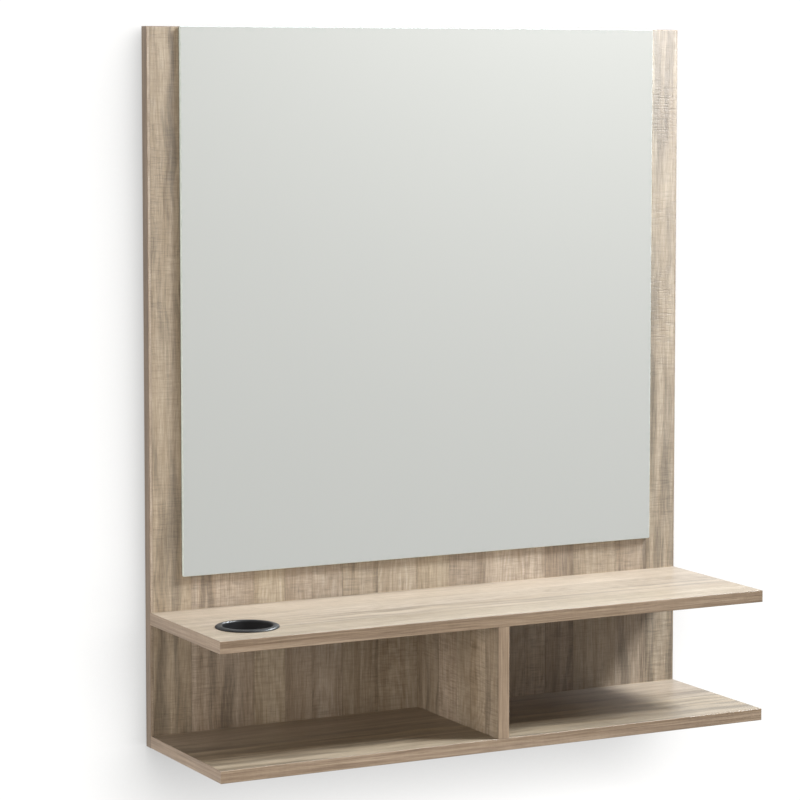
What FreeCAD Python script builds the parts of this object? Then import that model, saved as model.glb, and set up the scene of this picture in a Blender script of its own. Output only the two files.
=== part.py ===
"""Wall-hung salon styling station.

A laminate-faced back panel carries a square frameless mirror and two full-width
shelves with a divider between them. A drop-in ring in the upper shelf holds a
hair dryer. The panel hangs on a pair of interlocking aluminium rails.

Units are millimetres. X runs to the right seen from the front, Y runs into the
wall and Z runs up. The origin lies on the wall, at the centre of the line of
wall screws.
"""
import FreeCAD, Part
import math
import os

Vector = FreeCAD.Vector

# --- Driving dimensions ---------------------------------------------------
STATION_WIDTH = 900.0
STATION_HEIGHT = 1050.0
BOARD = 18.0                # thickness of every board
BAND = 1.0                  # thickness of every edge band
BAND_ROUNDING = 0.8         # radius on a band's long outer edges
SHELF_DEPTH = 250.0         # from the panel's front face, band included
UPPER_SHELF_TOP = 200.0     # above the panel's bottom edge
WALL_SCREW_LINE = 950.0     # above the panel's bottom edge
WALL_GAP = 6.0              # panel's back face to the wall

MIRROR_SIDE = 800.0
GLASS = 5.0
GLASS_ARRIS = 0.7           # ground edge of the pane
GLASS_CORNER = 2.0          # dubbed corner of the pane
SILVERING = 0.2
TAPE = 1.3                  # mirror tape, which also sets the glue's thickness
TAPE_WIDTH = 19.0
TAPE_COUNT = 5
TAPE_END_MARGIN = 30.0      # from the end of a tape to the mirror's edge
GLUE_BEAD_WIDTH = 9.0

RING_FROM_LEFT = 80.0       # dryer ring's axis to the left end of the shelf
RING_FROM_PANEL = 165.0     # dryer ring's axis to the panel's front face
RING_BORE_RADIUS = 36.0
RING_FLANGE_RADIUS = 46.0
RING_CREST = 3.2            # height of the flange's crest above the shelf
RING_WALL = 2.0
RING_LENGTH = 26.0          # sleeve, measured down from the shelf's top
RING_HOLE_CLEARANCE = 0.6   # radial, between the sleeve and the shelf's hole

RAIL_SHEET = 2.4            # wall thickness of both hanging rails
RAIL_CLEARANCE = 0.4        # between the two rails' lips, and lip to wall
RAIL_FLANGE = 30.0          # height of each rail's screwed flange
RAIL_HOOK = 15.0            # how far the lips overlap
WALL_RAIL_LENGTH = 860.0
PANEL_RAIL_LENGTH = 820.0
WALL_HOLE_RADIUS = 3.25
WALL_HOLE_PLACES = (-400.0, -200.0, 200.0, 400.0)
PANEL_RAIL_SCREW_PLACES = (-380.0, -228.0, -76.0, 76.0, 228.0, 380.0)

SPACER_RADIUS = 12.5
SPACER_FROM_SIDE = 50.0     # spacer's axis to the panel's side edge
SPACER_FROM_BOTTOM = 60.0

CONFIRMAT_LENGTH = 50.0
CONFIRMAT_HEAD_RADIUS = 5.0
CONFIRMAT_SHANK_RADIUS = 3.5
CONFIRMAT_THREAD_RADIUS = 3.2
HEX_ACROSS_FLATS = 4.0
HEX_DEPTH = 2.8
BOARD_SCREW_RADIUS = 2.0
BOARD_SCREW_HEAD_RADIUS = 4.0
BOARD_SCREW_HEAD = 2.2      # height of a chipboard screw's head
RAIL_SCREW_LENGTH = 15.0
SPACER_SCREW_LENGTH = 17.0
SPACER_SCREW_SUNK = 1.6     # screw head below the spacer's wall side
DOWEL_RADIUS = 4.0
DOWEL_LENGTH = 30.0
DOWEL_IN_FACE = 12.0        # part of a dowel that sits in a board's face
SHELF_SCREW_PLACES = (-410.0, -140.0, 140.0, 410.0)
SHELF_DOWEL_PLACES = (-345.0, -75.0, 75.0, 345.0)
DIVIDER_DOWEL_DEPTHS = (60.0, 190.0)    # in front of the panel
DIVIDER_SCREW_DEPTHS = (75.0, 175.0)    # in front of the panel
DIVIDER_BACK_SCREW_HEIGHTS = (60.0, 140.0)  # above the panel's bottom edge

# --- Places worked out from the driving dimensions ------------------------
LEFT = -STATION_WIDTH / 2
RIGHT = STATION_WIDTH / 2
BOTTOM = -WALL_SCREW_LINE
TOP = BOTTOM + STATION_HEIGHT
PANEL_BACK = -WALL_GAP
PANEL_FRONT = PANEL_BACK - BOARD
SHELF_FRONT = PANEL_FRONT - SHELF_DEPTH
LOWER_SHELF_TOP = BOTTOM + BOARD
UPPER_SHELF_TOP_Z = BOTTOM + UPPER_SHELF_TOP
UPPER_SHELF_UNDERSIDE = UPPER_SHELF_TOP_Z - BOARD
MIRROR_BOTTOM = TOP - MIRROR_SIDE
RING_X = LEFT + RING_FROM_LEFT
RING_Y = PANEL_FRONT - RING_FROM_PANEL
UPPER_SHELF_MIDDLE_Z = UPPER_SHELF_TOP_Z - BOARD / 2
LOWER_SHELF_MIDDLE_Z = BOTTOM + BOARD / 2

INTO_ROOM = Vector(0, -1, 0)
UP = Vector(0, 0, 1)


# --- Small helpers --------------------------------------------------------
def slab(x_range, y_range, z_range):
    """Box between two values on each axis."""
    size = [high - low for low, high in (x_range, y_range, z_range)]
    corner = Vector(x_range[0], y_range[0], z_range[0])
    return Part.makeBox(*size, corner)


def edges_along(shape, direction, test):
    """Straight edges of a shape that run along a direction and pass a test on their middle."""
    found = []
    for edge in shape.Edges:
        start, end = edge.Vertexes[0].Point, edge.Vertexes[-1].Point
        run = end - start
        if run.Length < 1e-6:
            continue
        if abs(run.normalize().dot(direction)) < 0.999:
            continue
        if test(edge.CenterOfMass):
            found.append(edge)
    return found


def placed(shape, place, direction):
    """Shape drawn up the Z axis, moved to a place and turned to point along a direction."""
    shape.Placement = FreeCAD.Placement(place, FreeCAD.Rotation(UP, direction))
    return shape


def lathe(profile, place, direction):
    """Solid of revolution from (radius, height) points; heights run along direction from place."""
    points = [Vector(radius, 0, height) for radius, height in profile]
    wire = Part.makePolygon(points + points[:1])
    solid = Part.Face(wire).revolve(Vector(0, 0, 0), UP, 360)
    return placed(solid, place, direction)


def group(solids):
    """Several separate solids that share one node."""
    return Part.makeCompound(solids)


def drilled(board, fittings):
    """Board with the exact seat of every fitting cut out of it."""
    return board.cut([solid for fitting in fittings for solid in fitting.Solids])


def at_seats(make, seats):
    """One fastener at each seat, a pair of a place and the direction it is driven in."""
    return group([make(place, direction) for place, direction in seats])


# --- Fasteners ------------------------------------------------------------
def confirmat_form(place, direction):
    """Outer form of a confirmat screw, which is also its seat in the boards."""
    cone = CONFIRMAT_HEAD_RADIUS - CONFIRMAT_SHANK_RADIUS
    head_rim = 0.8
    shank_end = 12.0
    tip_start = CONFIRMAT_LENGTH - 5.0
    profile = [
        (0, 0),
        (CONFIRMAT_HEAD_RADIUS, 0),
        (CONFIRMAT_HEAD_RADIUS, head_rim),
        (CONFIRMAT_SHANK_RADIUS, head_rim + cone),
        (CONFIRMAT_SHANK_RADIUS, shank_end),
        (CONFIRMAT_THREAD_RADIUS, shank_end),
        (CONFIRMAT_THREAD_RADIUS, tip_start),
        (CONFIRMAT_THREAD_RADIUS * 0.4, CONFIRMAT_LENGTH),
        (0, CONFIRMAT_LENGTH),
    ]
    return lathe(profile, place, direction)


def hex_socket(place, direction):
    """Six-sided recess that opens at place and runs along direction."""
    radius = HEX_ACROSS_FLATS / math.sqrt(3)
    corners = []
    for step in range(7):
        angle = math.radians(60 * step)
        corners.append(Vector(radius * math.cos(angle), radius * math.sin(angle), 0))
    prism = Part.Face(Part.makePolygon(corners)).extrude(UP * HEX_DEPTH)
    return placed(prism, place, direction)


def confirmat(place, direction):
    """Confirmat furniture screw: countersunk head, plain shank, thread drawn plain, hex socket."""
    return confirmat_form(place, direction).cut(hex_socket(place, direction))


def dowel(face_point, direction):
    """Beech dowel, drawn without its flutes; it starts DOWEL_IN_FACE behind the board's face."""
    chamfer = 1.0
    profile = [
        (0, 0),
        (DOWEL_RADIUS - chamfer, 0),
        (DOWEL_RADIUS, chamfer),
        (DOWEL_RADIUS, DOWEL_LENGTH - chamfer),
        (DOWEL_RADIUS - chamfer, DOWEL_LENGTH),
        (0, DOWEL_LENGTH),
    ]
    return lathe(profile, face_point - direction * DOWEL_IN_FACE, direction)


def screw_shank(length):
    """Profile of a chipboard screw's shank below its head, down to the point."""
    point = 3.0
    blunt = 0.4
    return [
        (BOARD_SCREW_RADIUS, length - point),
        (blunt, length),
        (0, length),
    ]


def pan_screw_form(place, direction):
    """Chipboard screw whose pan head stands behind the place it is driven from."""
    crown = 0.6
    head = [
        (0, -BOARD_SCREW_HEAD),
        (BOARD_SCREW_HEAD_RADIUS - crown, -BOARD_SCREW_HEAD),
        (BOARD_SCREW_HEAD_RADIUS, crown - BOARD_SCREW_HEAD),
        (BOARD_SCREW_HEAD_RADIUS, 0),
        (BOARD_SCREW_RADIUS, 0),
    ]
    return lathe(head + screw_shank(RAIL_SCREW_LENGTH), place, direction)


def flat_screw_form(place, direction):
    """Chipboard screw whose flat head is level with the place it is driven from."""
    head = [
        (0, 0),
        (BOARD_SCREW_HEAD_RADIUS, 0),
        (BOARD_SCREW_RADIUS, BOARD_SCREW_HEAD),
    ]
    return lathe(head + screw_shank(SPACER_SCREW_LENGTH), place, direction)


def cross_recess(place, direction):
    """Two crossed slots that open at place."""
    arm, slot, depth = 4.6, 1.0, 1.2
    bars = []
    for long_side, short_side in ((arm, slot), (slot, arm)):
        corner = Vector(-long_side / 2, -short_side / 2, 0)
        bar = Part.makeBox(long_side, short_side, depth, corner)
        bars.append(placed(bar, place, direction))
    return bars


def pan_screw(place, direction):
    """Pan-head chipboard screw with its cross recess."""
    head_top = place - direction * BOARD_SCREW_HEAD
    return pan_screw_form(place, direction).cut(cross_recess(head_top, direction))


def flat_screw(place, direction):
    """Countersunk chipboard screw with its cross recess."""
    return flat_screw_form(place, direction).cut(cross_recess(place, direction))


# --- Where the fasteners go -----------------------------------------------
def shelf_screw_seats(height):
    """Confirmats through the back panel into one shelf."""
    return [(Vector(x, PANEL_BACK, height), INTO_ROOM) for x in SHELF_SCREW_PLACES]


def shelf_dowel_seats(height):
    """Dowels between the back panel and one shelf."""
    return [(Vector(x, PANEL_FRONT, height), INTO_ROOM) for x in SHELF_DOWEL_PLACES]


def divider_dowel_seats():
    """Dowels between the upper shelf's underside and the divider."""
    return [
        (Vector(0, PANEL_FRONT - depth, UPPER_SHELF_UNDERSIDE), -UP)
        for depth in DIVIDER_DOWEL_DEPTHS
    ]


def divider_base_seats():
    """Confirmats up through the lower shelf into the divider."""
    return [(Vector(0, PANEL_FRONT - depth, BOTTOM), UP) for depth in DIVIDER_SCREW_DEPTHS]


def divider_back_seats():
    """Confirmats through the back panel into the divider."""
    return [
        (Vector(0, PANEL_BACK, BOTTOM + height), INTO_ROOM)
        for height in DIVIDER_BACK_SCREW_HEIGHTS
    ]


def panel_rail_screw_seats():
    """Screws through the panel rail's flange, at mid height, into the panel's back."""
    flange_bottom = RAIL_FLANGE / 2 + RAIL_HOOK + RAIL_CLEARANCE + RAIL_SHEET
    height = flange_bottom + RAIL_FLANGE / 2
    return [
        (Vector(x, PANEL_BACK + RAIL_SHEET, height), INTO_ROOM)
        for x in PANEL_RAIL_SCREW_PLACES
    ]


def spacer_centres():
    """The two points on the wall plane where the lower spacers rest."""
    reach = STATION_WIDTH / 2 - SPACER_FROM_SIDE
    return [Vector(x, 0, BOTTOM + SPACER_FROM_BOTTOM) for x in (-reach, reach)]


def spacer_screw_seats():
    """Screws sunk below the spacers' wall side."""
    return [(centre + INTO_ROOM * SPACER_SCREW_SUNK, INTO_ROOM) for centre in spacer_centres()]


# --- Hanging hardware -----------------------------------------------------
def rail_profile(points, half_length):
    """Extrusion of a (depth from wall, height) outline along X, with its long edges eased."""
    corners = [Vector(-half_length, -depth, height) for depth, height in points]
    wire = Part.makePolygon(corners + corners[:1])
    solid = Part.Face(wire).extrude(Vector(2 * half_length, 0, 0))
    easing = 0.3
    return solid.makeFillet(easing, edges_along(solid, Vector(1, 0, 0), lambda middle: True))


def wall_rail():
    """Rail on the wall: a screwed flange, a web and a lip that points up."""
    lip_back = 2 * RAIL_CLEARANCE + RAIL_SHEET
    lip_front = lip_back + RAIL_SHEET
    web_top = RAIL_FLANGE / 2
    lip_top = web_top + RAIL_HOOK
    outline = [
        (0, -RAIL_FLANGE / 2),
        (RAIL_SHEET, -RAIL_FLANGE / 2),
        (RAIL_SHEET, web_top - RAIL_SHEET),
        (lip_front, web_top - RAIL_SHEET),
        (lip_front, lip_top),
        (lip_back, lip_top),
        (lip_back, web_top),
        (0, web_top),
    ]
    rail = rail_profile(outline, WALL_RAIL_LENGTH / 2)
    holes = [
        Part.makeCylinder(WALL_HOLE_RADIUS, RAIL_SHEET, Vector(x, 0, 0), INTO_ROOM)
        for x in WALL_HOLE_PLACES
    ]
    return rail.cut(holes)


def panel_rail():
    """Rail on the panel's back: its lip points down and drops behind the wall rail's lip."""
    lip_back = RAIL_CLEARANCE
    lip_front = lip_back + RAIL_SHEET
    flange_back = WALL_GAP - RAIL_SHEET
    lip_bottom = RAIL_FLANGE / 2
    web_underside = lip_bottom + RAIL_HOOK + RAIL_CLEARANCE
    web_top = web_underside + RAIL_SHEET
    outline = [
        (lip_back, lip_bottom),
        (lip_front, lip_bottom),
        (lip_front, web_underside),
        (WALL_GAP, web_underside),
        (WALL_GAP, web_top + RAIL_FLANGE),
        (flange_back, web_top + RAIL_FLANGE),
        (flange_back, web_top),
        (lip_back, web_top),
    ]
    return rail_profile(outline, PANEL_RAIL_LENGTH / 2)


def spacer(centre):
    """Rubber disc that keeps the panel's lower end as far off the wall as the rails do."""
    edge = 1.0
    profile = [
        (0, 0),
        (SPACER_RADIUS - edge, 0),
        (SPACER_RADIUS, edge),
        (SPACER_RADIUS, WALL_GAP),
        (0, WALL_GAP),
    ]
    well = Part.makeCylinder(BOARD_SCREW_HEAD_RADIUS, SPACER_SCREW_SUNK, centre, INTO_ROOM)
    return lathe(profile, centre, INTO_ROOM).cut(well)


# --- Boards and edge bands ------------------------------------------------
def back_panel_board():
    """Core of the back panel, without its edge bands."""
    return slab(
        (LEFT + BAND, RIGHT - BAND), (PANEL_FRONT, PANEL_BACK), (BOTTOM + BAND, TOP - BAND)
    )


def panel_side_band(outer_x, inner_x):
    """Band on a tall edge of the back panel, running its full height."""
    band = slab(sorted((outer_x, inner_x)), (PANEL_FRONT, PANEL_BACK), (BOTTOM, TOP))
    return band.makeFillet(
        BAND_ROUNDING, edges_along(band, UP, lambda middle: abs(middle.x - outer_x) < 0.01)
    )


def panel_end_band(outer_z, inner_z):
    """Band on the top or bottom edge of the back panel, between the side bands."""
    band = slab(
        (LEFT + BAND, RIGHT - BAND), (PANEL_FRONT, PANEL_BACK), sorted((outer_z, inner_z))
    )
    along = Vector(1, 0, 0)
    return band.makeFillet(
        BAND_ROUNDING, edges_along(band, along, lambda middle: abs(middle.z - outer_z) < 0.01)
    )


def shelf_board(underside):
    """Core of a shelf, without its edge bands."""
    return slab(
        (LEFT + BAND, RIGHT - BAND), (SHELF_FRONT + BAND, PANEL_FRONT), (underside, underside + BOARD)
    )


def shelf_front_band(underside):
    """Band on a shelf's front edge, running its full width."""
    band = slab(
        (LEFT, RIGHT), (SHELF_FRONT, SHELF_FRONT + BAND), (underside, underside + BOARD)
    )
    along = Vector(1, 0, 0)
    return band.makeFillet(
        BAND_ROUNDING, edges_along(band, along, lambda middle: abs(middle.y - SHELF_FRONT) < 0.01)
    )


def shelf_end_band(outer_x, inner_x, underside):
    """Band on a shelf's left or right edge, behind the front band."""
    band = slab(
        sorted((outer_x, inner_x)),
        (SHELF_FRONT + BAND, PANEL_FRONT),
        (underside, underside + BOARD),
    )
    along = Vector(0, 1, 0)
    return band.makeFillet(
        BAND_ROUNDING, edges_along(band, along, lambda middle: abs(middle.x - outer_x) < 0.01)
    )


def divider_board():
    """Core of the upright between the two shelves."""
    return slab(
        (-BOARD / 2, BOARD / 2),
        (SHELF_FRONT + BAND, PANEL_FRONT),
        (LOWER_SHELF_TOP, UPPER_SHELF_UNDERSIDE),
    )


def divider_front_band():
    """Band on the divider's front edge."""
    band = slab(
        (-BOARD / 2, BOARD / 2),
        (SHELF_FRONT, SHELF_FRONT + BAND),
        (LOWER_SHELF_TOP, UPPER_SHELF_UNDERSIDE),
    )
    return band.makeFillet(
        BAND_ROUNDING, edges_along(band, UP, lambda middle: abs(middle.y - SHELF_FRONT) < 0.01)
    )


# --- Mirror ---------------------------------------------------------------
def mirror_sheet(front, back):
    """Square sheet with dubbed corners, between two depths in front of the wall."""
    half = MIRROR_SIDE / 2
    sheet = slab((-half, half), (front, back), (MIRROR_BOTTOM, TOP))
    return sheet.makeFillet(
        GLASS_CORNER, edges_along(sheet, Vector(0, 1, 0), lambda middle: True)
    )


def mirror_glass():
    """Clear float-glass pane with a ground arris round its front face."""
    back = PANEL_FRONT - TAPE - SILVERING
    pane = mirror_sheet(back - GLASS, back)
    front_edges = [edge for edge in pane.Edges if abs(edge.CenterOfMass.y - (back - GLASS)) < 0.01]
    return pane.makeChamfer(GLASS_ARRIS, front_edges)


def mirror_silvering():
    """Silver, copper and paint coat on the back of the pane."""
    back = PANEL_FRONT - TAPE
    return mirror_sheet(back - SILVERING, back)


def mirror_strip(x, width, end_margin):
    """Upright strip between the silvering and the panel."""
    return slab(
        (x - width / 2, x + width / 2),
        (PANEL_FRONT - TAPE, PANEL_FRONT),
        (MIRROR_BOTTOM + end_margin, TOP - end_margin),
    )


def tape_places():
    """Middles of the tapes, evenly spaced across the mirror."""
    outer = MIRROR_SIDE / 2 - TAPE_END_MARGIN - TAPE_WIDTH / 2
    step = 2 * outer / (TAPE_COUNT - 1)
    return [-outer + step * index for index in range(TAPE_COUNT)]


def mirror_tapes():
    """Double-sided foam tapes that hold the mirror while the glue sets."""
    return group([mirror_strip(x, TAPE_WIDTH, TAPE_END_MARGIN) for x in tape_places()])


def mirror_glue_beads():
    """Flattened beads of mirror glue, one midway between each pair of tapes."""
    places = tape_places()
    margin = TAPE_END_MARGIN * 1.5
    return group([
        mirror_strip((left + right) / 2, GLUE_BEAD_WIDTH, margin)
        for left, right in zip(places, places[1:])
    ])


# --- Dryer ring -----------------------------------------------------------
def arc_through(start, middle, end):
    """Arc through three (radius, height) points in the XZ plane."""
    points = [Vector(radius, 0, height) for radius, height in (start, middle, end)]
    return Part.Arc(*points).toShape()


def straight(start, end):
    """Straight edge between two (radius, height) points in the XZ plane."""
    return Part.makeLine(Vector(start[0], 0, start[1]), Vector(end[0], 0, end[1]))


def dryer_ring():
    """Drop-in insert: a domed flange on the shelf and a plain sleeve through it."""
    sleeve_radius = RING_BORE_RADIUS + RING_WALL
    crest_radius = RING_BORE_RADIUS + 3.0
    flange_edge = 0.6           # upright rim at the flange's outer edge
    mouth_drop = 0.4            # where the flange's inner round meets the bore
    lip = RING_WALL / 2         # radius of the sleeve's rounded lower end
    outer_top = (RING_FLANGE_RADIUS, flange_edge)
    crest = (crest_radius, RING_CREST)
    mouth = (RING_BORE_RADIUS, mouth_drop)
    bore_end = (RING_BORE_RADIUS, -RING_LENGTH + lip)
    sleeve_end = (sleeve_radius, -RING_LENGTH + lip)
    under_flange = (sleeve_radius, 0.0)
    outer_bottom = (RING_FLANGE_RADIUS, 0.0)
    edges = [
        straight(outer_bottom, outer_top),
        arc_through(outer_top, (RING_FLANGE_RADIUS - 2.9, 2.35), crest),
        arc_through(crest, (RING_BORE_RADIUS + 0.9, 2.3), mouth),
        straight(mouth, bore_end),
        arc_through(bore_end, (RING_BORE_RADIUS + lip, -RING_LENGTH), sleeve_end),
        straight(sleeve_end, under_flange),
        straight(under_flange, outer_bottom),
    ]
    ring = Part.Face(Part.Wire(edges)).revolve(Vector(0, 0, 0), UP, 360)
    ring.translate(Vector(RING_X, RING_Y, UPPER_SHELF_TOP_Z))
    return ring


def ring_hole():
    """Round hole in the upper shelf that the ring drops into."""
    radius = RING_BORE_RADIUS + RING_WALL + RING_HOLE_CLEARANCE
    return Part.makeCylinder(radius, BOARD, Vector(RING_X, RING_Y, UPPER_SHELF_UNDERSIDE))


# --- Whole station --------------------------------------------------------
def build():
    """Every node's name and shape."""
    screw_seats = {
        "upper_shelf_screws": shelf_screw_seats(UPPER_SHELF_MIDDLE_Z),
        "lower_shelf_screws": shelf_screw_seats(LOWER_SHELF_MIDDLE_Z),
        "divider_base_screws": divider_base_seats(),
        "divider_back_screws": divider_back_seats(),
    }
    dowel_seats = {
        "upper_shelf_dowels": shelf_dowel_seats(UPPER_SHELF_MIDDLE_Z),
        "lower_shelf_dowels": shelf_dowel_seats(LOWER_SHELF_MIDDLE_Z),
        "divider_top_dowels": divider_dowel_seats(),
    }
    joinery = [at_seats(confirmat_form, seats) for seats in screw_seats.values()]
    joinery += [at_seats(dowel, seats) for seats in dowel_seats.values()]
    rail_seats = panel_rail_screw_seats()
    rail_forms = at_seats(pan_screw_form, rail_seats)
    spacer_seats = spacer_screw_seats()
    spacer_forms = at_seats(flat_screw_form, spacer_seats)

    nodes = {
        "back_panel": drilled(back_panel_board(), joinery + [rail_forms, spacer_forms]),
        "panel_left_band": panel_side_band(LEFT, LEFT + BAND),
        "panel_right_band": panel_side_band(RIGHT, RIGHT - BAND),
        "panel_top_band": panel_end_band(TOP, TOP - BAND),
        "panel_bottom_band": panel_end_band(BOTTOM, BOTTOM + BAND),
        "upper_shelf": drilled(shelf_board(UPPER_SHELF_UNDERSIDE), joinery + [ring_hole()]),
        "lower_shelf": drilled(shelf_board(BOTTOM), joinery),
        "divider": drilled(divider_board(), joinery),
        "divider_front_band": divider_front_band(),
        "mirror_glass": mirror_glass(),
        "mirror_silvering": mirror_silvering(),
        "mirror_tapes": mirror_tapes(),
        "mirror_glue_beads": mirror_glue_beads(),
        "dryer_ring": dryer_ring(),
        "wall_rail": wall_rail(),
        "panel_rail": drilled(panel_rail(), [rail_forms]),
        "panel_rail_screws": at_seats(pan_screw, rail_seats),
        "wall_spacers": group([drilled(spacer(centre), [spacer_forms]) for centre in spacer_centres()]),
        "spacer_screws": at_seats(flat_screw, spacer_seats),
    }
    for node, seats in screw_seats.items():
        nodes[node] = at_seats(confirmat, seats)
    for node, seats in dowel_seats.items():
        nodes[node] = at_seats(dowel, seats)
    for shelf, underside in (("upper_shelf", UPPER_SHELF_UNDERSIDE), ("lower_shelf", BOTTOM)):
        nodes[shelf + "_front_band"] = shelf_front_band(underside)
        nodes[shelf + "_left_band"] = shelf_end_band(LEFT, LEFT + BAND, underside)
        nodes[shelf + "_right_band"] = shelf_end_band(RIGHT, RIGHT - BAND, underside)
    return nodes


os.makedirs("parts", exist_ok=True)
for name, shape in build().items():
    shape.exportStep("parts/" + name + ".step")
    print(name, len(shape.Solids), "solids", round(shape.Volume / 1000, 2), "cm3")
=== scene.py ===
# %% [markdown]
# # A wall-hung styling station for a hair salon
# The station is flat-pack furniture: sawn-oak laminate boards, a glued mirror and a moulded
# ring that holds a hair dryer. The boards come ready-made from the CAD frame, because their
# shape is right as it is. This lesson gives them their laminate, replaces the pane, the ring,
# the fasteners and the soft fittings with finer surfaces, and lights the whole thing.

import math

import bpy
import numpy as np
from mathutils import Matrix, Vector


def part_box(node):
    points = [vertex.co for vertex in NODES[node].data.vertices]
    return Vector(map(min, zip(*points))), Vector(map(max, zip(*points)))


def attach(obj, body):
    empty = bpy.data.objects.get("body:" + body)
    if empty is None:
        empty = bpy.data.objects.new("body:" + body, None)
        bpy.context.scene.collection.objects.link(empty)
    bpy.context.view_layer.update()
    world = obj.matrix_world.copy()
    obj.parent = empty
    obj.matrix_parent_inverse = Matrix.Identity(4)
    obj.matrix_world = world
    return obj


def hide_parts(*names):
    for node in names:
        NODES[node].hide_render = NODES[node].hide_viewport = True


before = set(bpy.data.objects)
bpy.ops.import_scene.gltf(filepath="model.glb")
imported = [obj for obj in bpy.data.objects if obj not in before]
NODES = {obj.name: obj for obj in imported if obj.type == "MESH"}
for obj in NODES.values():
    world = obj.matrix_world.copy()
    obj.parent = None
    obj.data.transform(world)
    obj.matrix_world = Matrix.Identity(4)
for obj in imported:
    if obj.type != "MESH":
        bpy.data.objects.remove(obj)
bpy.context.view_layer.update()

# %% [markdown]
# ## Where things are
# Nothing is placed by hand. The corners of the boards, the pane and the ring are read from the
# frame, and the rest of the lesson works from them.

# %% Places read from the frame
MM = 0.001


def low(node):
    """Lowest corner of a CAD node, as an array of metres."""
    return np.array(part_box(node)[0])


def high(node):
    """Highest corner of a CAD node, as an array of metres."""
    return np.array(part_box(node)[1])


PANEL_LOW = low("panel_left_band")
PANEL_HIGH = high("panel_right_band")
PANEL_FRONT = PANEL_LOW[1]
SHELF_TOP = high("upper_shelf")[2]
print("panel", PANEL_LOW.round(3), PANEL_HIGH.round(3), "shelf top", round(SHELF_TOP, 3))

# %% [markdown]
# ## Writing materials as formulas
# A material is a formula over the surface. Drawn with nodes it is a web of arithmetic, so a
# small class lets the formula be written as one: each `+`, `-`, `*` or `/` on a `Field` adds
# the Math node that does it. The nodes are the same as if they were laid out by hand.

# %% Node helpers
class Field:
    """A number that changes over the surface: the output socket of a node in a tree."""

    def __init__(self, tree, socket):
        self.tree = tree
        self.socket = socket

    def maths(self, operation, *others):
        """Field that a Math node works out from this one and the others."""
        inputs = dict(enumerate((self, *others)))
        node = add(self.tree, "ShaderNodeMath", inputs, operation=operation)
        return Field(self.tree, node.outputs[0])

    def __add__(self, other):
        return self.maths("ADD", other)

    def __sub__(self, other):
        return self.maths("SUBTRACT", other)

    def __mul__(self, other):
        return self.maths("MULTIPLY", other)

    def __truediv__(self, other):
        return self.maths("DIVIDE", other)

    def step(self, start, end):
        """0 before start and 1 after end, with a smooth rise between; start may be the larger."""
        inputs = {"Value": self, "From Min": start, "From Max": end}
        node = add(self.tree, "ShaderNodeMapRange", inputs, interpolation_type="SMOOTHSTEP")
        return Field(self.tree, node.outputs["Result"])


def feed(tree, socket, value):
    """Links a field or socket to an input, or sets the input's own value."""
    if isinstance(value, Field):
        value = value.socket
    if isinstance(value, bpy.types.NodeSocket):
        tree.links.new(value, socket)
    else:
        socket.default_value = value


def feed_all(tree, node, inputs):
    """Feeds several inputs of a node, given by name or by number."""
    for name, value in inputs.items():
        feed(tree, node.inputs[name], value)
    return node


def add(tree, kind, inputs=None, **settings):
    """One node with its settings made and its inputs fed."""
    node = tree.nodes.new(kind)
    for name, value in settings.items():
        setattr(node, name, value)
    return feed_all(tree, node, inputs or {})


def vector(tree, x, y, z):
    """Three numbers or fields joined into one vector socket."""
    return add(tree, "ShaderNodeCombineXYZ", {"X": x, "Y": y, "Z": z}).outputs[0]


def split(tree, socket):
    """The three numbers of a vector, as fields."""
    node = add(tree, "ShaderNodeSeparateXYZ", {"Vector": socket})
    return [Field(tree, output) for output in node.outputs]


def noise(tree, where, detail=2.0, roughness=0.5, distortion=0.0, scale=1.0):
    """Smooth noise from 0 to 1, with about scale blobs to one unit of the vector."""
    node = add(
        tree, "ShaderNodeTexNoise",
        {"Vector": where, "Scale": scale, "Detail": detail, "Roughness": roughness,
         "Distortion": distortion},
    )
    return Field(tree, node.outputs[0])


def blend(tree, share, first, second, mode="MIX"):
    """Colour that goes from first to second as share goes from 0 to 1."""
    node = add(tree, "ShaderNodeMix", {0: share, 6: first, 7: second},
               data_type="RGBA", blend_type=mode)
    return node.outputs[2]


def ramp(tree, share, stops):
    """Colour read from a list of (position, (red, green, blue)) stops."""
    node = add(tree, "ShaderNodeValToRGB", {"Fac": share})
    elements = node.color_ramp.elements
    while len(elements) < len(stops):
        elements.new(0.5)
    for element, (position, colour) in zip(elements, stops):
        element.position = position
        element.color = (*colour, 1.0)
    return node.outputs["Color"]


def new_group(name, inputs, outputs):
    """Empty shader node group; inputs are (name, kind, value) and outputs are (name, kind)."""
    tree = bpy.data.node_groups.new(name, "ShaderNodeTree")
    for socket_name, kind, value in inputs:
        socket = tree.interface.new_socket(socket_name, in_out="INPUT", socket_type=kind)
        if value is not None:
            socket.default_value = value
    for socket_name, kind in outputs:
        tree.interface.new_socket(socket_name, in_out="OUTPUT", socket_type=kind)
    start = tree.nodes.new("NodeGroupInput")
    end = tree.nodes.new("NodeGroupOutput")
    given = {s.name: s for s in start.outputs if s.name}
    return tree, given, end


def use_group(tree, group, inputs):
    """One use of a node group in a tree."""
    return add(tree, "ShaderNodeGroup", inputs, node_tree=group)


def mask_from(tree, group, inputs):
    """The mask that a group with one output gives, as a field."""
    return Field(tree, use_group(tree, group, inputs).outputs[0])


FLOAT, COLOUR, VECTOR = "NodeSocketFloat", "NodeSocketColor", "NodeSocketVector"
print("node helpers ready")

# %% [markdown]
# ## Sawn oak, printed
# The boards are faced with a printed paper that copies rough-sawn oak: upright staves 3 to 7 cm
# wide, each with its own tone, fine fibres along the grain, some smoky heartwood streaks and
# figured arches, and short saw marks across the grain. It could be one picture stretched
# over the board, but a formula has no seams and stays sharp. The group takes a vector whose
# first number runs across the grain and whose third runs along it, in metres.

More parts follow.
